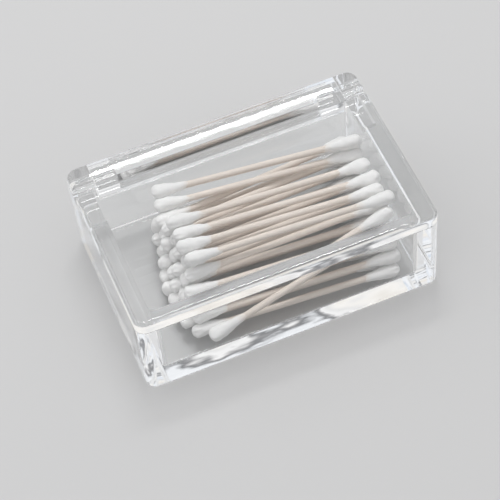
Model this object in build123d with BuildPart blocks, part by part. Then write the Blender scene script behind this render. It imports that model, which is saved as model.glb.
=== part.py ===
from build123d import *
from math import atan2, cos, degrees, hypot, sqrt
import os

# A clear hinged box with thick moulded walls, its lid on two pins, and the pile of cotton swabs in it.
# X runs along the box, the lid opens at the front (-Y), and the case stands on Z = 0.

# Box, outside
case_length = 107.0
case_depth = 72.0
total_height = 36.5
corner_radius = 4.0
bottom_edge_radius = 1.0
top_edge_radius = 2.0
wall_lean = 0.5

# Case
side_wall = 7.2
front_wall = 7.2
rear_wall = 8.0
floor_thickness = 5.0
inner_corner_radius = 2.0
inner_floor_radius = 1.5

# Ears that carry the pins at the two rear corners
ear_length = 8.0
ear_depth = 9.1

# Step cut into the top of each side wall, behind an outer lip
step_lip = 2.3
step_end = 24.5
step_drop = 2.8

# Hinge pins
pin_radius = 1.25
pin_from_rear = 4.6
pin_from_top = 4.7
pin_recess = 2.4
pin_chamfer = 0.2
pin_press_gap = 0.01
pin_running_gap = 0.05

# Lid
lid_thickness = 4.0
lid_gap = 0.3
lid_rear_corner_radius = 2.0
bar_depth = 11.3
bar_end_gap = 0.25
bar_round_radius = 4.6
bar_skin = 3.2
knuckle_length = 8.2
bar_swing_gap = 0.25

# Swabs
swab_length = 74.0
stick_radius = 1.1
bud_radius = 2.45
bud_length = 13.0
bud_swell = 0.22
swab_gap = 0.07
wall_gap = 0.3

overrun = 1.0

rim_height = total_height - lid_thickness - lid_gap
lid_underside = total_height - lid_thickness
cavity_length = case_length - 2 * side_wall
cavity_depth = case_depth - front_wall - rear_wall
cavity_y = (front_wall - rear_wall) / 2
lean_angle = degrees(atan2(wall_lean, rim_height))
pin_y = case_depth / 2 - pin_from_rear
pin_z = total_height - pin_from_top
ear_front_y = case_depth / 2 - ear_depth
bar_front_y = case_depth / 2 - bar_depth
bar_length = case_length - 2 * ear_length - 2 * bar_end_gap
knuckle_inner_x = bar_length / 2 - knuckle_length

# The rear wall stops below the arc that the bar's rear top edge swings through.
bar_rear_reach = pin_from_rear - top_edge_radius
bar_top_reach = pin_from_top - top_edge_radius
bar_swing_radius = hypot(bar_rear_reach, bar_top_reach) + top_edge_radius
rear_wall_height = pin_z - bar_swing_radius - bar_swing_gap

# How far the bar's front lower edge reaches from the pins, as the lid opens above the swabs.
bar_front_reach = hypot(bar_depth - pin_from_rear, bar_round_radius)

os.makedirs("parts", exist_ok=True)


def save(piece, label):
    """Names the finished piece and writes it to its own file."""
    piece.part.label = label
    export_step(piece.part, f"parts/{label}.step")


# Case: a thick tray with drafted walls, two ears and a lowered rear wall between them.
with BuildPart() as case_body:
    with BuildSketch(Plane.XY.offset(rim_height)):
        RectangleRounded(case_length, case_depth, corner_radius)
    extrude(amount=-rim_height, taper=lean_angle)
    fillet(case_body.edges().group_by(Axis.Z)[0], bottom_edge_radius)

    with BuildSketch(Plane.XY.offset(floor_thickness)):
        with Locations((0, cavity_y)):
            RectangleRounded(cavity_length, cavity_depth, inner_corner_radius)
    extrude(amount=rim_height - floor_thickness, taper=-lean_angle, mode=Mode.SUBTRACT)
    fillet(case_body.edges(Select.LAST).group_by(Axis.Z)[0], inner_floor_radius)

    # Ears
    with BuildSketch(Plane.XY.offset(rim_height)):
        RectangleRounded(case_length, case_depth, corner_radius)
        with Locations((0, case_depth / 2 - ear_depth / 2)):
            Rectangle(case_length, ear_depth, mode=Mode.INTERSECT)
            Rectangle(case_length - 2 * ear_length, ear_depth, mode=Mode.SUBTRACT)
    extrude(amount=total_height - rim_height)
    ear_tops = case_body.faces().filter_by(Axis.Z).group_by(Axis.Z)[-1]
    ear_outer_edges = ear_tops.edges() - ear_tops.edges().filter_by(Axis.X).group_by(Axis.Y)[0]
    left_seam, right_seam = ear_outer_edges.filter_by(Axis.Y).sort_by(Axis.X)[1:3]
    fillet(ear_outer_edges - ShapeList([left_seam, right_seam]), top_edge_radius)

    # Room for the lid's bar above the rear wall
    with BuildSketch(Plane.XY.offset(rear_wall_height)):
        with Locations((0, case_depth / 2 - rear_wall / 2 - inner_corner_radius / 2 + overrun / 2)):
            Rectangle(case_length - 2 * ear_length, rear_wall + inner_corner_radius + overrun)
    extrude(amount=total_height, mode=Mode.SUBTRACT)

    # Steps in the side walls
    step_width = side_wall - step_lip + overrun
    step_length = step_end - ear_depth
    with BuildSketch(Plane.XY.offset(rim_height)):
        with Locations((0, ear_front_y - step_length / 2)):
            with GridLocations(case_length - 2 * step_lip - step_width, 0, 2, 1):
                Rectangle(step_width, step_length)
    extrude(amount=-step_drop, mode=Mode.SUBTRACT)

    # Pin bores through both ears
    with BuildSketch(Plane.YZ.offset(-case_length / 2)):
        with Locations((pin_y, pin_z)):
            Circle(pin_radius + pin_press_gap)
    extrude(amount=case_length, mode=Mode.SUBTRACT)
save(case_body, "case_body")

# Lid: a flat plate with a thick bar along its rear edge, which turns between the ears.
with BuildPart() as lid:
    bar_height = pin_from_top + bar_round_radius
    with BuildSketch(Plane.XY.offset(lid_underside)) as plate:
        with Locations((0, bar_front_y / 2 - case_depth / 4)):
            Rectangle(case_length, case_depth - bar_depth)
        fillet(plate.vertices().group_by(Axis.Y)[0], corner_radius)
        fillet(plate.vertices().group_by(Axis.Y)[-1], lid_rear_corner_radius)
        Rectangle(bar_length, case_depth)
    extrude(amount=lid_thickness)
    with BuildSketch(Plane.XY.offset(total_height - bar_height)):
        with Locations((0, case_depth / 2 - bar_depth / 2)):
            Rectangle(bar_length, bar_depth)
    extrude(amount=bar_height)
    top_edges = lid.faces().sort_by(Axis.Z)[-1].edges()
    bar_end_edges = top_edges.filter_by(Axis.Y).sort_by(SortBy.LENGTH)[:2]
    fillet(top_edges - bar_end_edges, top_edge_radius)
    bar_rear_edges = lid.edges().filter_by(Axis.X).group_by(Axis.Y)[-1]
    fillet(bar_rear_edges.sort_by(Axis.Z)[0], bar_round_radius)

    # The bar's middle is hollowed from below, which leaves walls of one thickness and a knuckle at each end.
    with BuildSketch(Plane.XY.offset(total_height - bar_height)):
        with Locations((0, case_depth / 2 - bar_depth / 2)):
            Rectangle(2 * knuckle_inner_x, bar_depth - 2 * bar_skin)
    extrude(amount=bar_height - bar_skin, mode=Mode.SUBTRACT)

    # Pin bores in the knuckles
    with BuildSketch(Plane.YZ.offset(knuckle_inner_x)):
        with Locations((pin_y, pin_z)):
            Circle(pin_radius + pin_running_gap)
    bore = extrude(amount=knuckle_length, mode=Mode.SUBTRACT)
    mirror(bore, about=Plane.YZ, mode=Mode.SUBTRACT)
save(lid, "lid")

# Pins: pressed into the ears from outside, running in the knuckles.
pin_outer_x = case_length / 2 - pin_recess
for side, label in ((-1, "hinge_pin_left"), (1, "hinge_pin_right")):
    with BuildPart() as hinge_pin:
        with BuildSketch(Plane.YZ.offset(side * knuckle_inner_x)):
            with Locations((pin_y, pin_z)):
                Circle(pin_radius)
        extrude(amount=side * (pin_outer_x - knuckle_inner_x))
        chamfer(hinge_pin.edges().filter_by(GeomType.CIRCLE), pin_chamfer)
    save(hinge_pin, label)

# Where each swab lies, from the bottom of the pile up: how far its left tip is along the free length,
# and how far its left and right ends are from the front wall to the rear one.
swab_place_shares = (
    (0.72, 0.1, 0),
    (0.60, 0.2, 0.1),
    (0.56, 0.3, 0.21),
    (0.54, 0.4, 0.33),
    (0.60, 0.5, 0.45),
    (0.68, 0.6, 0.57),
    (0.76, 0.7, 0.69),
    (0.80, 0.8, 0.81),
    (0.86, 0.9, 0.93),
    (0.80, 0.15, 0.05),
    (0.74, 0.25, 0.155),
    (0.66, 0.35, 0.27),
    (0.72, 0.45, 0.39),
    (0.68, 0.55, 0.51),
    (0.78, 0.65, 0.63),
    (0.74, 0.75, 0.75),
    (0.84, 0.85, 0.87),
    (0.80, 0.19, 0.1),
    (0.84, 0.3, 0.22),
    (0.78, 0.4, 0.32),
    (0.86, 0.51, 0.45),
    (0.80, 0.6, 0.58),
    (0.86, 0.7, 0.69),
    (0.82, 0.8, 0.81),
    (0.98, 0, 0.155),
    (0.92, 0.26, 0.27),
    (0.96, 0.35, 0.4),
    (0.90, 0.46, 0.5),
    (0.96, 0.55, 0.64),
    (0.90, 0.65, 0.75),
    (0.88, 0.75, 0.87),
    (1.00, 0.3, 0.21),
    (0.94, 0.39, 0.34),
    (1.00, 0.51, 0.44),
    (0.96, 0.6, 0.57),
    (0.95, 0.84, 0.66),
    (1.00, 0.93, 0.69),
)

free_length = cavity_length - swab_length - 2 * wall_gap
end_margin = bud_radius + wall_gap
free_depth = cavity_depth - 2 * end_margin
cavity_front_y = cavity_y - cavity_depth / 2
samples = 150
settling_passes = 3
middle_share = 0.5


def swab_radius(along):
    """The swab's radius at a distance from its left tip: a round tip, a swelling taper, then the stick."""
    tip = min(along, swab_length - along)
    if tip < bud_radius:
        return sqrt(max(2 * tip * bud_radius - tip**2, 0))
    if tip > bud_length:
        return stick_radius
    taper = (tip - bud_radius) / (bud_length - bud_radius)
    return bud_radius + (stick_radius - bud_radius) * taper + 4 * bud_swell * taper * (1 - taper)


def plan_line(shares, span):
    """The two ends seen from above, for a swab that covers this span on plan."""
    along_share, left_share, right_share = shares
    left_y = cavity_front_y + end_margin + left_share * free_depth
    right_y = cavity_front_y + end_margin + right_share * free_depth
    left_x = -cavity_length / 2 + wall_gap + along_share * free_length
    return (left_x, left_y), (left_x + sqrt(span**2 - (right_y - left_y) ** 2), right_y)


def lowest_height(point, radius, placed):
    """The least height at which a ball of this radius clears the floor and every swab placed so far."""
    height = floor_thickness + swab_gap + radius
    for start, end in placed:
        run_x, run_y, rise = (b - a for a, b in zip(start, end))
        run = hypot(run_x, run_y)
        along = ((point[0] - start[0]) * run_x + (point[1] - start[1]) * run_y) / run**2
        along = min(max(along, 0), 1)
        apart = hypot(point[0] - start[0] - along * run_x, point[1] - start[1] - along * run_y)
        reach = radius + swab_radius(along * swab_length) + swab_gap
        if apart < reach:
            height = max(height, start[2] + along * rise + sqrt(reach**2 - apart**2))
    return height


def rest(shares, placed):
    """Lets one swab down onto the pile, where it lies on one point each side of its middle."""
    span = swab_length
    for _ in range(settling_passes):
        left, right = plan_line(shares, span)
        lows = []
        for index in range(samples + 1):
            part = index / samples
            point = tuple(a + part * (b - a) for a, b in zip(left, right))
            lows.append((part, lowest_height(point, swab_radius(part * swab_length), placed)))
        before = [low for low in lows if low[0] <= middle_share]
        after = [low for low in lows if low[0] > middle_share]
        middle, first, last = max(
            (a[1] + (b[1] - a[1]) * (middle_share - a[0]) / (b[0] - a[0]), a, b)
            for a in before
            for b in after
        )
        slope = (last[1] - first[1]) / (last[0] - first[0])
        span = sqrt(swab_length**2 - slope**2)
    return (*left, middle - slope / 2), (*right, middle + slope / 2)


def fits(ends):
    """Whether a swab lies under the closed lid and clear of the bar as the lid opens."""
    room = bud_radius + wall_gap
    return all(
        height + room <= lid_underside and hypot(pin_y - y, pin_z - height) >= bar_front_reach + room
        for _, y, height in ends
    )


# A swab that the box has no room for is left out.
pile = []
for shares in swab_place_shares:
    ends = rest(shares, pile)
    if fits(ends):
        pile.append(ends)

# Swabs: one paper stick each, with a bud wound on either end.
for number, (start, end) in enumerate(pile, 1):
    along = Vector(*end) - Vector(*start)
    swab_plane = Plane(origin=start, x_dir=along, z_dir=along.cross(Vector(0, 0, 1)))
    back_x = swab_length - bud_length
    taper_x = (bud_radius + bud_length) / 2
    taper_y = (bud_radius + stick_radius) / 2 + bud_swell
    with BuildPart() as swab:
        with BuildSketch(swab_plane):
            with BuildLine():
                left_tip = RadiusArc((0, 0), (bud_radius, bud_radius), bud_radius)
                left_taper = ThreePointArc(left_tip @ 1, (taper_x, taper_y), (bud_length, stick_radius))
                stick = Line(left_taper @ 1, (back_x, stick_radius))
                right_taper = ThreePointArc(
                    stick @ 1, (swab_length - taper_x, taper_y), (swab_length - bud_radius, bud_radius)
                )
                right_tip = RadiusArc(right_taper @ 1, (swab_length, 0), bud_radius)
                Line(right_tip @ 1, left_tip @ 0)
            make_face()
        revolve(axis=Axis(swab_plane.origin, swab_plane.x_dir))
    save(swab, f"swab_{number:02d}")
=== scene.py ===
"""Dresses the clear hinged swab box: clear plastic, paper sticks, wound cotton buds and a plain studio."""

import math
import random

import bmesh
import bpy
import numpy as np
from bpy.props import FloatProperty, FloatVectorProperty, IntProperty, PointerProperty
from mathutils import Matrix, Vector, noise


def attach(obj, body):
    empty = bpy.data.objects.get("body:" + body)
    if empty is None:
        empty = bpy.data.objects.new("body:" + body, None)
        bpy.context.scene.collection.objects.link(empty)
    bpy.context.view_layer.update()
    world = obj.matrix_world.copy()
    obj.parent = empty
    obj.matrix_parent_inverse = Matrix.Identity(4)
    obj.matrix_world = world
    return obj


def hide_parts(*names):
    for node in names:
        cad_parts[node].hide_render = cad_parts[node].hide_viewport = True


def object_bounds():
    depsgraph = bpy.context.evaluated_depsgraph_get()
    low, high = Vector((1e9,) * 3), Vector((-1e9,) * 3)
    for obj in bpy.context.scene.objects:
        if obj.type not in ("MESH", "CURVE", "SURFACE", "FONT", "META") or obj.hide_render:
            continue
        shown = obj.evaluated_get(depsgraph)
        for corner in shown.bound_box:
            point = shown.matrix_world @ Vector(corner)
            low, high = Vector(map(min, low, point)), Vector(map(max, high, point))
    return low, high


bl_info = {
    "name": "Clear Swab Box",
    "version": (1, 0, 0),
    "blender": (4, 5, 0),
    "location": "View3D > Sidebar > Swab Box",
    "description": "Dresses a clear hinged box and the cotton swabs in it",
    "category": "Object",
}

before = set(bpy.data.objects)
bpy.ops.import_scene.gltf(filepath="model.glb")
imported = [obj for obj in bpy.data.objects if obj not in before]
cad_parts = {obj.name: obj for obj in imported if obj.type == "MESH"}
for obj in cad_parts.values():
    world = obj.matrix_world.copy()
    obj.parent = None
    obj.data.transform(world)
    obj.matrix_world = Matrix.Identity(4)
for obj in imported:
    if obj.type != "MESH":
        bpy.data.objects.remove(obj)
CAD_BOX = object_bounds()
SWAB_NODES = sorted(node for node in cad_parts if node.startswith("swab_"))
SEED = 7

# Clean-up of a copied CAD mesh, lengths in metres
SAME_CORNER = 1e-6
SAME_FLAT = math.radians(0.2)
SHORTEST_EDGE = 1e-5
EDGE_SEGMENTS = 2

# Clear plastic: its refraction, how far its roughness varies, and the light that passes a face edge on
ACRYLIC_IOR = 1.49
ROUGHNESS_LOW = 0.5
ROUGHNESS_HIGH = 2.0
SLANT_BLEND = 0.4
SLANT_COLOUR = (0.6, 0.6, 0.6, 1.0)

# Painted light in the walls, an emission that stands in for the light held in them: painted patches from cool
# to warm with a thin painted dark loop between them, and a fine painted grain
PAINTED_HELD_LIGHT = (
    (0.0, (0.66, 0.72, 0.8)),
    (0.12, (0.9, 0.94, 1.0)),
    (0.22, (0.76, 0.8, 0.87)),
    (0.32, (0.95, 0.97, 1.0)),
    (0.42, (0.9, 0.92, 0.95)),
    (0.465, (0.22, 0.225, 0.235)),
    (0.485, (0.36, 0.36, 0.37)),
    (0.52, (0.97, 0.97, 0.97)),
    (0.6, (0.82, 0.82, 0.82)),
    (0.68, (0.98, 0.96, 0.93)),
    (0.78, (0.84, 0.81, 0.76)),
    (0.9, (0.98, 0.95, 0.9)),
    (1.0, (0.8, 0.74, 0.68)),
)
PAINTED_PATCH_STRETCH = (14.0, 12.0, 0.9)
PAINTED_GRAIN_STRETCH = (7.0, 3.0, 1.0)
PAINTED_GRAIN_SHARE = 0.2
PAINTED_GRAIN_DEPTH = 0.025

# Fibres of the paper and the cotton: tones as shares of the base colour, and how far they streak the foot
PAPER_DARK = 0.74
PAPER_LIGHT = 1.13
COTTON_DARK = 0.9
FOOT_STREAK = 0.5

# Paper stick: its start inside the bud as a share of the bud's length, its divisions and its crisp edges
STICK_INSET = 0.55
STICK_RINGS = 12
STICK_STEPS = 24
STICK_CREASE = math.radians(40)

# Outline of a cotton bud: divisions, powers of its curves, and radii as shares of the stick's and the bud's
BUD_RINGS = 30
BUD_STEPS = 36
BUD_CREASE = math.radians(70)
RING_POWER = 1.25
DOME_POWER = 2.2
FALL_POWER = 1.1
FOOT_SHARE = 1.02
BELLY_SHARE = 0.99

# Surface of a cotton bud: how fast its patterns run, and their depths as shares of the bud's radius
LUMP_RATE, LUMP_DEPTH = 420.0, 0.09
FLUFF_RATE, FLUFF_DEPTH = 1500.0, 0.045
SPIRAL_RATE, SPIRAL_DEPTH = 2600.0, 0.012
SUNK_DEPTH = 0.045
PATTERN_REACH = 100

# Folds round the crown of a bud. The crown's middle lies this many radii of the bud from its tip
FOLD_COUNT, FOLD_SWAY, FOLD_DEPTH = 5, 2.0, 0.1
CROWN_CENTRE, CROWN_SPREAD = 0.5, 0.4

# Spun forms: points this near each other are one, and points this near the axis have no turn of their own
SAME_POINT = 1e-7
ON_AXIS = 1e-6

# Air around the studio, by how high it is seen: dark near the floor, so that edges show, and pale above
AIR_SHADES = (
    (0.0, (0.05, 0.05, 0.052)),
    (0.14, (0.06, 0.06, 0.0606)),
    (0.26, (0.42, 0.42, 0.4242)),
    (0.5, (0.55, 0.55, 0.5555)),
    (0.8, (0.74, 0.74, 0.7474)),
)
FLOOR_REACH = 4.0
FLOOR_ROUGHNESS = 0.7

# Where the lamps aim: the middle of the lid, and a point to the right of its bar
LID_TOP = Vector((0.0, 0.0, CAD_BOX[1].z))
BESIDE_BAR = Vector((0.072, 0.0239, 0.029))

# Each lamp: name, place, aim, width, length, power, and whether the polished faces mirror it
LAMPS = (
    ("rear_softbox", (0.12, 0.34, 0.95), LID_TOP, 0.34, 0.11, 4.0, True),
    ("bar_strip", (0.19, 0.7144, 0.8718), BESIDE_BAR, 0.226, 0.0026, 0.055, True),
    ("left_softbox", (-0.8, 0.25, 0.5), LID_TOP, 0.7, 0.7, 1.6, False),
    ("front_fill", (0.45, -0.9, 0.5), LID_TOP, 0.95, 0.65, 0.9, False),
)

# The photograph's camera: its direction from the box, its roll, its distance and its shift along its own axes
CAMERA_AZIMUTH = math.radians(-16.63)
CAMERA_HEIGHT = math.radians(53.06)
CAMERA_ROLL = math.radians(-6.92)
CAMERA_DISTANCE = 0.7094
CAMERA_LEFT = 0.00233
CAMERA_UP = 0.00277
SENSOR_WIDTH = 36.0


class ClearBoxSettings(bpy.types.PropertyGroup):
    """Finish of the moulded case, lid and pins."""

    tint: FloatVectorProperty(
        name="Tint", description="Colour of the clear plastic", subtype="COLOR", size=3,
        min=0.0, max=1.0, default=(0.985, 0.99, 0.99),
    )
    roughness: FloatProperty(
        name="Roughness", description="Roughness of the polished faces", default=0.01, min=0.0, max=1.0,
    )
    ripple_size: FloatProperty(
        name="Ripple size", description="Width of the faint flow marks in the moulding",
        unit="LENGTH", default=0.011, min=0.001, max=0.1,
    )
    # Past these many mirrorings or faces a ray shows painted light, an emission in place of the light held in
    # the walls
    inner_bounces: IntProperty(
        name="Inner bounces",
        description="A ray mirrored this often inside the walls shows the light held in them",
        default=3, min=1, max=30,
    )
    passed_faces: IntProperty(
        name="Passed faces",
        description="A ray that has met this many faces shows the light held in the walls",
        default=9, min=1, max=30,
    )
    # Size of the painted light and dark patches of that emission
    painted_glint_size: FloatProperty(
        name="Glint size", description="Size of the light and dark patches deep inside the thick walls",
        unit="LENGTH", default=0.005, min=0.0005, max=0.05,
    )
    smooth_angle: FloatProperty(
        name="Smooth angle", description="Edges sharper than this stay crisp",
        subtype="ANGLE", default=math.radians(32), min=0.0, max=math.pi,
    )
    edge_width: FloatProperty(
        name="Edge width", description="How far the long straight edges are rounded over",
        unit="LENGTH", default=0.0003, min=0.0, max=0.001,
    )
    long_edge: FloatProperty(
        name="Long edge", description="Straight edges longer than this are rounded over",
        unit="LENGTH", default=0.004, min=0.0, max=1.0,
    )


class SwabSettings(bpy.types.PropertyGroup):
    """Sizes and colours of one cotton swab."""

    stick_radius: FloatProperty(
        name="Stick radius", description="Radius of the rolled paper stick",
        unit="LENGTH", default=0.00115, min=0.0005, max=0.003,
    )
    bud_radius: FloatProperty(
        name="Bud radius", description="Widest radius of the cotton bud",
        unit="LENGTH", default=0.00252, min=0.001, max=0.005,
    )
    bud_length: FloatProperty(
        name="Bud length", description="Length of the wound cotton from its tip to the bare stick",
        unit="LENGTH", default=0.0145, min=0.005, max=0.03,
    )
    variants: IntProperty(
        name="Bud variants", description="Different buds that are shared among the swabs",
        default=12, min=1, max=40,
    )
    paper_colour: FloatVectorProperty(
        name="Paper colour", description="Colour of the paper sticks", subtype="COLOR", size=3,
        min=0.0, max=1.0, default=(0.87, 0.78, 0.705),
    )
    cotton_colour: FloatVectorProperty(
        name="Cotton colour", description="Colour of the cotton", subtype="COLOR", size=3,
        min=0.0, max=1.0, default=(0.97, 0.965, 0.955),
    )


class StageSettings(bpy.types.PropertyGroup):
    """Floor and camera."""

    floor_colour: FloatVectorProperty(
        name="Floor colour", description="Colour of the plain floor", subtype="COLOR", size=3,
        min=0.0, max=1.0, default=(0.58, 0.58, 0.58),
    )
    floor_gap: FloatProperty(
        name="Floor gap",
        description="Air under the flat bottom, which makes the bottom mirror what is above it",
        unit="LENGTH", default=0.0001, min=0.0, max=0.001,
    )
    lens: FloatProperty(
        name="Lens", description="Focal length of the camera on a 36 mm sensor",
        unit="CAMERA", default=147.3, min=10.0, max=500.0,
    )


def placed(data):
    """A new object in the scene that shows a mesh, lamp or camera and has its name."""
    piece = bpy.data.objects.new(data.name, data)
    bpy.context.scene.collection.objects.link(piece)
    return piece


def axes_at(place, along_x, along_y, along_z):
    """A matrix that moves the origin to a place and turns the axes to three directions."""
    matrix = Matrix((along_x, along_y, along_z)).transposed().to_4x4()
    matrix.translation = place
    return matrix


def shade_by_angle(mesh, angle):
    """Smooth shading, with the edges sharper than the angle kept crisp."""
    bm = bmesh.new()
    bm.from_mesh(mesh)
    for face in bm.faces:
        face.smooth = True
    for edge in bm.edges:
        edge.smooth = len(edge.link_faces) == 2 and edge.calc_face_angle(0.0) < angle
    bm.to_mesh(mesh)
    bm.free()


def merged_copy(node, name, settings):
    """A copy of a CAD node's mesh: corners joined, flats flat and long straight sharp edges rounded over."""
    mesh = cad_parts[node].data.copy()
    mesh.name = name
    bm = bmesh.new()
    bm.from_mesh(mesh)
    bmesh.ops.remove_doubles(bm, verts=bm.verts, dist=SAME_CORNER)
    bmesh.ops.dissolve_degenerate(bm, edges=bm.edges, dist=SAME_CORNER)
    bmesh.ops.dissolve_limit(bm, angle_limit=SAME_FLAT, verts=bm.verts, edges=bm.edges)
    crisp = [
        edge for edge in bm.edges
        if edge.is_convex and edge.calc_length() > settings.long_edge
        and edge.calc_face_angle(0.0) > settings.smooth_angle
    ]
    bmesh.ops.bevel(
        bm, geom=crisp, offset=settings.edge_width, segments=EDGE_SEGMENTS, profile=0.5, affect="EDGES",
        clamp_overlap=True, material=-1,
    )
    bmesh.ops.remove_doubles(bm, verts=bm.verts, dist=SHORTEST_EDGE)
    bm.to_mesh(mesh)
    bm.free()
    if "custom_normal" in mesh.attributes:
        mesh.attributes.remove(mesh.attributes["custom_normal"])
    shade_by_angle(mesh, settings.smooth_angle)
    mesh.materials.clear()
    piece = placed(mesh)
    normals = piece.modifiers.new("flats_stay_flat", "WEIGHTED_NORMAL")
    normals.mode = "FACE_AREA"
    normals.keep_sharp = True
    return piece


def new_material(name):
    """An empty node material, its node tree and its output node."""
    material = bpy.data.materials.new(name)
    material.use_nodes = True
    tree = material.node_tree
    tree.nodes.clear()
    return material, tree, tree.nodes.new("ShaderNodeOutputMaterial")


def link(tree, source, target):
    """Joins an output socket to an input socket."""
    tree.links.new(source, target)


def add_node(tree, kind, inputs=(), **settings):
    """Adds a node with its settings. Each of its inputs is joined to a socket or given a plain value."""
    node = tree.nodes.new(kind)
    for name, value in settings.items():
        setattr(node, name, value)
    for name, value in dict(inputs).items():
        if isinstance(value, bpy.types.NodeSocket):
            link(tree, value, node.inputs[name])
        else:
            node.inputs[name].default_value = value
    return node


def calculated(tree, operation, *values):
    """The result of a Math node over sockets and plain numbers."""
    return add_node(tree, "ShaderNodeMath", enumerate(values), operation=operation).outputs[0]


def blended(tree, factor, first, second):
    """The result of a Mix node over two colours, each a socket or plain values."""
    inputs = {"Factor": factor, "A": first, "B": second}
    return add_node(tree, "ShaderNodeMix", inputs, data_type="RGBA").outputs["Result"]


def ramp(tree, factor, stops):
    """The colour of a ramp over a factor. Each stop is a share and a colour, with the lowest share first."""
    node = add_node(tree, "ShaderNodeValToRGB", {"Fac": factor})
    elements = node.color_ramp.elements
    for number, (share, colour) in enumerate((stops[0], stops[-1])):
        elements[number].position = share
        elements[number].color = (*colour, 1.0)
    for share, colour in stops[1:-1]:
        elements.new(share).color = (*colour, 1.0)
    return node.outputs["Color"]


def dent(tree, shader, height, strength, distance):
    """Dents a shader's surface by a height socket, where 1 stands for the distance in metres."""
    inputs = {"Strength": strength, "Distance": distance, "Height": height}
    link(tree, add_node(tree, "ShaderNodeBump", inputs).outputs["Normal"], shader.inputs["Normal"])


def mottle_group():
    """Faint cloudy variation on Object coordinates, shared by every finish here and built once."""
    tree = bpy.data.node_groups.get("Mottle")
    if tree:
        return tree
    tree = bpy.data.node_groups.new("Mottle", "ShaderNodeTree")
    for name, kind, value in (
        ("Size", "NodeSocketFloat", 0.01),
        ("Stretch", "NodeSocketVector", (1.0, 1.0, 1.0)),
        ("Low", "NodeSocketFloat", 0.0),
        ("High", "NodeSocketFloat", 1.0),
    ):
        tree.interface.new_socket(name, in_out="INPUT", socket_type=kind).default_value = value
    tree.interface.new_socket("Value", in_out="OUTPUT", socket_type="NodeSocketFloat")
    given = tree.nodes.new("NodeGroupInput").outputs
    place = tree.nodes.new("ShaderNodeTexCoord").outputs["Object"]
    drawn = add_node(tree, "ShaderNodeVectorMath", {0: place, 1: given["Stretch"]}, operation="DIVIDE")
    scale = calculated(tree, "DIVIDE", 1.0, given["Size"])
    inputs = {"Vector": drawn.outputs["Vector"], "Scale": scale, "Detail": 3.0}
    clouds = add_node(tree, "ShaderNodeTexNoise", inputs).outputs["Fac"]
    inputs = {
        "Value": clouds, "From Min": 0.3, "From Max": 0.7, "To Min": given["Low"], "To Max": given["High"],
    }
    spread = add_node(tree, "ShaderNodeMapRange", inputs).outputs["Result"]
    add_node(tree, "NodeGroupOutput", {"Value": spread})
    return tree


def mottle(tree, size, low, high, stretch=(1.0, 1.0, 1.0)):
    """Places the shared mottling in a material and gives its output socket."""
    inputs = {"Size": size, "Stretch": stretch, "Low": low, "High": high}
    return add_node(tree, "ShaderNodeGroup", inputs, node_tree=mottle_group()).outputs["Value"]


def painted_held_light(tree, settings):
    """Painted light for the thick walls, an emission that stands in for the light held in them: long level
    painted patches and a fine painted grain.
    """
    patches = mottle(tree, settings.painted_glint_size, 0.0, 1.0, PAINTED_PATCH_STRETCH)
    grain = mottle(tree, settings.painted_glint_size * PAINTED_GRAIN_SHARE, -PAINTED_GRAIN_DEPTH, PAINTED_GRAIN_DEPTH, PAINTED_GRAIN_STRETCH)
    colour = ramp(tree, calculated(tree, "ADD", patches, grain), PAINTED_HELD_LIGHT)
    return add_node(tree, "ShaderNodeEmission", {"Color": colour}).outputs["Emission"]


def let_through(tree):
    """How the plastic lets light by: all of it, or less where the light meets a face edge on."""
    slant = add_node(tree, "ShaderNodeLayerWeight", {"Blend": SLANT_BLEND}).outputs["Facing"]
    colour = blended(tree, slant, (1.0, 1.0, 1.0, 1.0), SLANT_COLOUR)
    return add_node(tree, "ShaderNodeBsdfTransparent", {"Color": colour}).outputs["BSDF"]


def clear_plastic(settings):
    """Polished clear plastic, shared by the case, the lid and the pins and built once."""
    material = bpy.data.materials.get("clear_plastic_moulding")
    if material:
        return material
    material, tree, output = new_material("clear_plastic_moulding")
    inputs = {"Base Color": (*settings.tint, 1.0), "Transmission Weight": 1.0, "IOR": ACRYLIC_IOR}
    shader = add_node(tree, "ShaderNodeBsdfPrincipled", inputs)
    low, high = settings.roughness * ROUGHNESS_LOW, settings.roughness * ROUGHNESS_HIGH
    link(tree, mottle(tree, settings.ripple_size, low, high), shader.inputs["Roughness"])
    dent(tree, shader, mottle(tree, settings.ripple_size, 0.0, 1.0), strength=0.02, distance=0.00004)
    rays = tree.nodes.new("ShaderNodeLightPath").outputs
    mirrored = calculated(tree, "GREATER_THAN", rays["Glossy Depth"], settings.inner_bounces - 0.5)
    passed = calculated(tree, "GREATER_THAN", rays["Ray Depth"], settings.passed_faces - 0.5)
    # A ray deep inside the walls shows painted light, an emission that stands in for the light held in them
    deep = calculated(tree, "MAXIMUM", mirrored, passed)
    inputs = {"Fac": deep, 1: shader.outputs["BSDF"], 2: painted_held_light(tree, settings)}
    seen = add_node(tree, "ShaderNodeMixShader", inputs).outputs["Shader"]
    # Shadow and diffuse rays pass straight through, so that light reaches what lies inside
    lighting = calculated(tree, "MAXIMUM", rays["Is Shadow Ray"], rays["Is Diffuse Ray"])
    mix = add_node(tree, "ShaderNodeMixShader", {"Fac": lighting, 1: seen, 2: let_through(tree)})
    link(tree, mix.outputs["Shader"], output.inputs["Surface"])
    return material


def fibres(tree, uv_name, stretch, slant, scale, detail, roughness):
    """Noise drawn out over a piece's own UV map. Gives the map's socket and the noise's socket."""
    place = add_node(tree, "ShaderNodeUVMap", uv_map=uv_name).outputs["UV"]
    inputs = {"Vector": place, "Rotation": (0.0, 0.0, slant), "Scale": stretch}
    turned = add_node(tree, "ShaderNodeMapping", inputs).outputs["Vector"]
    inputs = {"Vector": turned, "Scale": scale, "Detail": detail, "Roughness": roughness}
    return place, add_node(tree, "ShaderNodeTexNoise", inputs).outputs["Fac"]


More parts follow.
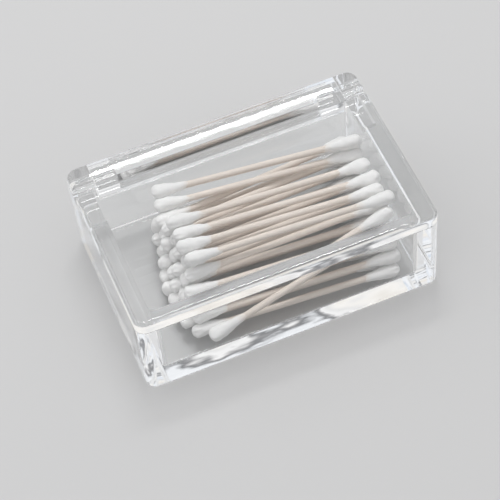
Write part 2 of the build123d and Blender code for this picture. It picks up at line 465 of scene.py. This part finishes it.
def paper(settings):
    """Rolled paper: warm and matt, with faint fibres along the stick."""
    material, tree, output = new_material("rolled_paper")
    shader = tree.nodes.new("ShaderNodeBsdfPrincipled")
    fibre = fibres(tree, "stick", (90.0, 6.0, 1.0), slant=0.0, scale=3.0, detail=5.0, roughness=0.5)[1]
    dark = [value * PAPER_DARK for value in settings.paper_colour]
    light = [min(1.0, value * PAPER_LIGHT) for value in settings.paper_colour]
    link(tree, ramp(tree, fibre, ((0.3, dark), (0.7, light))), shader.inputs["Base Color"])
    dent(tree, shader, fibre, strength=0.25, distance=0.0001)
    link(tree, mottle(tree, size=0.004, low=0.62, high=0.8), shader.inputs["Roughness"])
    link(tree, shader.outputs["BSDF"], output.inputs["Surface"])
    return material


def cotton(settings):
    """Wound cotton: white, soft and matt, with a fine fibrous surface that thins out over the stick."""
    material, tree, output = new_material("wound_cotton")
    inputs = {
        "Sheen Weight": 0.5, "Sheen Roughness": 0.6,
        "Subsurface Weight": 0.25, "Subsurface Radius": (0.6, 0.6, 0.6), "Subsurface Scale": 0.002,
    }
    shader = add_node(tree, "ShaderNodeBsdfPrincipled", inputs)
    slant = math.radians(62)
    place, fibre = fibres(tree, "wind", (9.0, 14.0, 1.0), slant, scale=2.2, detail=8.0, roughness=0.65)
    dark = [value * COTTON_DARK for value in settings.cotton_colour]
    tone = ramp(tree, fibre, ((0.25, dark), (0.65, settings.cotton_colour)))
    # Streaks of bare paper show through near the foot, where the UV's length comes to 1
    length = add_node(tree, "ShaderNodeSeparateXYZ", {0: place}).outputs["Y"]
    streak = calculated(tree, "MULTIPLY_ADD", fibre, FOOT_STREAK, length)
    inputs = {"Value": streak, "From Min": 0.98, "From Max": 1.24}
    thin = add_node(tree, "ShaderNodeMapRange", inputs).outputs["Result"]
    link(tree, blended(tree, thin, tone, (*settings.paper_colour, 1.0)), shader.inputs["Base Color"])
    dent(tree, shader, fibre, strength=0.5, distance=0.0002)
    link(tree, mottle(tree, size=0.002, low=0.85, high=0.97), shader.inputs["Roughness"])
    link(tree, shader.outputs["BSDF"], output.inputs["Surface"])
    return material


def swab_line(node):
    """The two tips of a swab, from its CAD solid: its long axis and how far the solid reaches along it."""
    points = np.array([vertex.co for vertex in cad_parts[node].data.vertices])
    centre = (points.min(0) + points.max(0)) / 2
    axis = np.linalg.svd(points - points.mean(0), full_matrices=False)[2][0]
    axis = axis if axis[0] > 0 else -axis
    along = (points - centre) @ axis
    middle = centre + axis * (along.min() + along.max()) / 2
    half = (along.max() - along.min()) / 2
    return Vector(middle - axis * half), Vector(middle + axis * half)


def standing_on(tip, other, turn):
    """A matrix that puts a form made along +X from the origin onto a tip, pointing at the other tip."""
    along = (other - tip).normalized()
    side = along.cross(Vector((0, 0, 1))).normalized()
    return axes_at(tip, along, side, along.cross(side)) @ Matrix.Rotation(turn, 4, "X")


def spun(profile, steps, uv_name):
    """A closed form from a profile of (along, radius), spun about X, with a UV of turn and length."""
    bm = bmesh.new()
    rim = [bm.verts.new((along, radius, 0.0)) for along, radius in profile]
    edges = [bm.edges.new(pair) for pair in zip(rim, rim[1:])]
    bmesh.ops.spin(
        bm, geom=rim + edges, cent=(0, 0, 0), axis=(1, 0, 0), angle=math.tau, steps=steps, use_merge=True,
    )
    bmesh.ops.remove_doubles(bm, verts=bm.verts, dist=SAME_POINT)
    bmesh.ops.recalc_face_normals(bm, faces=bm.faces)
    layer = bm.loops.layers.uv.new(uv_name)
    length = profile[-1][0]
    for face in bm.faces:
        face.smooth = True
        middle = face.calc_center_median()
        centre_turn = math.atan2(middle.z, middle.y) / math.tau
        for loop in face.loops:
            co = loop.vert.co
            turn = math.atan2(co.z, co.y) / math.tau if co.yz.length > ON_AXIS else centre_turn
            turn += round(centre_turn - turn)
            loop[layer].uv = (turn, co.x / length)
    return bm


def bud_profile(settings):
    """The bud from its round tip to where the last fibres meet the stick, as (along, radius)."""
    foot = settings.stick_radius * FOOT_SHARE
    belly = settings.bud_radius * BELLY_SHARE
    points = []
    for ring in range(BUD_RINGS + 1):
        along = settings.bud_length * (ring / BUD_RINGS) ** RING_POWER
        tip = min(along / settings.bud_radius, 1.0)
        dome = math.sqrt(max(1 - (1 - tip) ** DOME_POWER, 0))
        fall = max((along - settings.bud_radius) / (settings.bud_length - settings.bud_radius), 0.0)
        ease = 0.5 + 0.5 * math.cos(math.pi * fall**FALL_POWER)
        points.append((along, (foot + (belly - foot) * ease) * dome))
    return points + [(settings.bud_length, 0.0)]


class SWABBOX_OT_case(bpy.types.Operator):
    """Make the clear moulded case"""

    bl_idname = "swabbox.case"
    bl_label = "Case"

    def execute(self, context):
        settings = context.scene.swabbox_clear
        piece = merged_copy("case_body", "clear_case", settings)
        piece.data.materials.append(clear_plastic(settings))
        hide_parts("case_body")
        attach(piece, "case")
        return {"FINISHED"}


class SWABBOX_OT_lid(bpy.types.Operator):
    """Make the clear moulded lid"""

    bl_idname = "swabbox.lid"
    bl_label = "Lid"

    def execute(self, context):
        settings = context.scene.swabbox_clear
        piece = merged_copy("lid", "clear_lid", settings)
        piece.data.materials.append(clear_plastic(settings))
        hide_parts("lid")
        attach(piece, "lid")
        return {"FINISHED"}


class SWABBOX_OT_pins(bpy.types.Operator):
    """Finish the two hinge pins"""

    bl_idname = "swabbox.pins"
    bl_label = "Hinge pins"

    def execute(self, context):
        settings = context.scene.swabbox_clear
        for node in ("hinge_pin_left", "hinge_pin_right"):
            piece = merged_copy(node, f"clear_{node}", settings)
            piece.data.materials.append(clear_plastic(settings))
            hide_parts(node)
            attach(piece, "case")
        return {"FINISHED"}


class SWABBOX_OT_sticks(bpy.types.Operator):
    """Roll the paper sticks"""

    bl_idname = "swabbox.sticks"
    bl_label = "Paper sticks"

    def execute(self, context):
        settings = context.scene.swabbox_swab
        finish = paper(settings)
        rolls = random.Random(SEED)
        inset = settings.bud_length * STICK_INSET
        for node in SWAB_NODES:
            left, right = swab_line(node)
            length = (right - left).length - 2 * inset
            side = [(length * ring / STICK_RINGS, settings.stick_radius) for ring in range(STICK_RINGS + 1)]
            bm = spun([(0.0, 0.0), *side, (length, 0.0)], STICK_STEPS, "stick")
            start = left + (right - left).normalized() * inset
            matrix = standing_on(start, right, rolls.uniform(0, math.tau))
            bmesh.ops.transform(bm, verts=bm.verts, matrix=matrix)
            mesh = bpy.data.meshes.new(node.replace("swab", "stick"))
            bm.to_mesh(mesh)
            bm.free()
            shade_by_angle(mesh, STICK_CREASE)
            piece = placed(mesh)
            piece.data.materials.append(finish)
            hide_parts(node)
            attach(piece, "case")
        return {"FINISHED"}


class SWABBOX_OT_buds(bpy.types.Operator):
    """Wind the cotton buds"""

    bl_idname = "swabbox.buds"
    bl_label = "Cotton buds"

    def execute(self, context):
        settings = context.scene.swabbox_swab
        finish = cotton(settings)
        rolls = random.Random(SEED + 1)
        kinds = [self.wound_bud(settings, rolls.uniform(0, PATTERN_REACH)) for _ in range(settings.variants)]
        for node in SWAB_NODES:
            left, right = swab_line(node)
            for side, tip, other in (("left", left, right), ("right", right, left)):
                mesh = rolls.choice(kinds).copy()
                mesh.name = f"{node.replace('swab', 'bud')}_{side}"
                mesh.transform(standing_on(tip, other, rolls.uniform(0, math.tau)))
                piece = placed(mesh)
                piece.data.materials.append(finish)
                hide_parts(node)
                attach(piece, "case")
        for kind in kinds:
            bpy.data.meshes.remove(kind)
        return {"FINISHED"}

    @staticmethod
    def wound_bud(settings, offset):
        """One bud along +X from its tip: spun, then pushed in and out by lumps, fluff, winding and folds."""
        bm = spun(bud_profile(settings), BUD_STEPS, "wind")
        for vertex in bm.verts:
            co = vertex.co
            out = Vector((0.0, co.y, co.z))
            reach = out.length
            if reach < ON_AXIS:
                continue
            turn = math.atan2(co.z, co.y)
            lump = noise.noise(co * LUMP_RATE + Vector((offset, 0, 0)))
            fluff = noise.noise(co * FLUFF_RATE + Vector((0, offset, 0)))
            spiral = math.sin(turn + co.x * SPIRAL_RATE + offset)
            crown = math.exp(-((co.x / settings.bud_radius - CROWN_CENTRE) ** 2) / CROWN_SPREAD)
            sway = FOLD_SWAY * math.sin(turn * 2 + offset)
            fold = crown * math.cos(turn * FOLD_COUNT + sway + offset)
            depth = LUMP_DEPTH * lump + FLUFF_DEPTH * fluff + SPIRAL_DEPTH * spiral + FOLD_DEPTH * fold
            depth = settings.bud_radius * (depth - SUNK_DEPTH)
            vertex.co += out.normalized() * depth * min(reach / settings.stick_radius, 1.0)
        mesh = bpy.data.meshes.new("bud_kind")
        bm.to_mesh(mesh)
        bm.free()
        shade_by_angle(mesh, BUD_CREASE)
        return mesh


class SWABBOX_OT_stage(bpy.types.Operator):
    """Set the floor, the world, the lamps and the camera"""

    bl_idname = "swabbox.stage"
    bl_label = "Studio"

    def execute(self, context):
        settings = context.scene.swabbox_stage
        self.floor(settings)
        self.world(context.scene)
        for lamp in LAMPS:
            self.lamp(*lamp)
        self.camera(context.scene, settings)
        context.scene.view_settings.view_transform = "Standard"
        return {"FINISHED"}

    @staticmethod
    def floor(settings):
        """A plain pale floor, a hair below the box."""
        bm = bmesh.new()
        below = Matrix.Translation((0.0, 0.0, -settings.floor_gap))
        bmesh.ops.create_grid(bm, x_segments=1, y_segments=1, size=FLOOR_REACH, matrix=below)
        mesh = bpy.data.meshes.new("floor")
        bm.to_mesh(mesh)
        bm.free()
        floor = placed(mesh)
        material, tree, output = new_material("plain_floor")
        inputs = {"Base Color": (*settings.floor_colour, 1.0), "Roughness": FLOOR_ROUGHNESS}
        shader = add_node(tree, "ShaderNodeBsdfPrincipled", inputs)
        link(tree, shader.outputs["BSDF"], output.inputs["Surface"])
        mesh.materials.append(material)

    @staticmethod
    def world(scene):
        """The air around the studio, shaded by how high it is seen."""
        scene.world = bpy.data.worlds.new("studio_air")
        scene.world.use_nodes = True
        tree = scene.world.node_tree
        place = tree.nodes.new("ShaderNodeTexCoord").outputs["Generated"]
        height = add_node(tree, "ShaderNodeSeparateXYZ", {0: place}).outputs["Z"]
        link(tree, ramp(tree, height, AIR_SHADES), tree.nodes["Background"].inputs["Color"])

    @staticmethod
    def lamp(name, place, aim, width, length, power, mirrored):
        """A softbox that faces its aim, with its width turned as near to X as it goes."""
        data = bpy.data.lights.new(name, "AREA")
        data.shape = "RECTANGLE"
        data.size = width
        data.size_y = length
        data.energy = power
        lamp = placed(data)
        lamp.visible_glossy = mirrored
        back = (Vector(place) - aim).normalized()
        side = (Vector((1.0, 0.0, 0.0)) - back * back.x).normalized()
        lamp.matrix_world = axes_at(place, side, back.cross(side), back)

    @staticmethod
    def camera(scene, settings):
        """The photograph's view."""
        back = Vector((
            math.sin(CAMERA_AZIMUTH) * math.cos(CAMERA_HEIGHT),
            -math.cos(CAMERA_AZIMUTH) * math.cos(CAMERA_HEIGHT),
            math.sin(CAMERA_HEIGHT),
        ))
        level = Vector((math.cos(CAMERA_AZIMUTH), math.sin(CAMERA_AZIMUTH), 0.0))
        above = back.cross(level)
        right = level * math.cos(CAMERA_ROLL) + above * math.sin(CAMERA_ROLL)
        up = above * math.cos(CAMERA_ROLL) - level * math.sin(CAMERA_ROLL)
        place = back * CAMERA_DISTANCE - right * CAMERA_LEFT + up * CAMERA_UP
        data = bpy.data.cameras.new("camera")
        data.lens = settings.lens
        data.sensor_width = SENSOR_WIDTH
        camera = placed(data)
        camera.matrix_world = axes_at(place, right, up, back)
        scene.camera = camera


class SWABBOX_PT_panel(bpy.types.Panel):
    """Lists the pieces of the swab box"""

    bl_label = "Swab Box"
    bl_idname = "SWABBOX_PT_panel"
    bl_space_type = "VIEW_3D"
    bl_region_type = "UI"
    bl_category = "Swab Box"

    def draw(self, context):
        for group in SETTINGS:
            settings = getattr(context.scene, group)
            box = self.layout.box()
            for name in settings.__annotations__:
                box.prop(settings, name)
        for operator in OPERATORS:
            self.layout.operator(operator.bl_idname)


SETTINGS = {
    "swabbox_clear": ClearBoxSettings,
    "swabbox_swab": SwabSettings,
    "swabbox_stage": StageSettings,
}
OPERATORS = (
    SWABBOX_OT_stage,
    SWABBOX_OT_case,
    SWABBOX_OT_lid,
    SWABBOX_OT_pins,
    SWABBOX_OT_sticks,
    SWABBOX_OT_buds,
)


def register():
    for group in SETTINGS.values():
        bpy.utils.register_class(group)
    for name, group in SETTINGS.items():
        setattr(bpy.types.Scene, name, PointerProperty(type=group))
    for operator in OPERATORS:
        bpy.utils.register_class(operator)
    bpy.utils.register_class(SWABBOX_PT_panel)


def unregister():
    bpy.utils.unregister_class(SWABBOX_PT_panel)
    for operator in reversed(OPERATORS):
        bpy.utils.unregister_class(operator)
    for name, group in SETTINGS.items():
        delattr(bpy.types.Scene, name)
        bpy.utils.unregister_class(group)


def main():
    register()
    for operator in OPERATORS:
        getattr(bpy.ops.swabbox, operator.bl_idname.split(".")[1])()


if __name__ == "__main__":
    main()
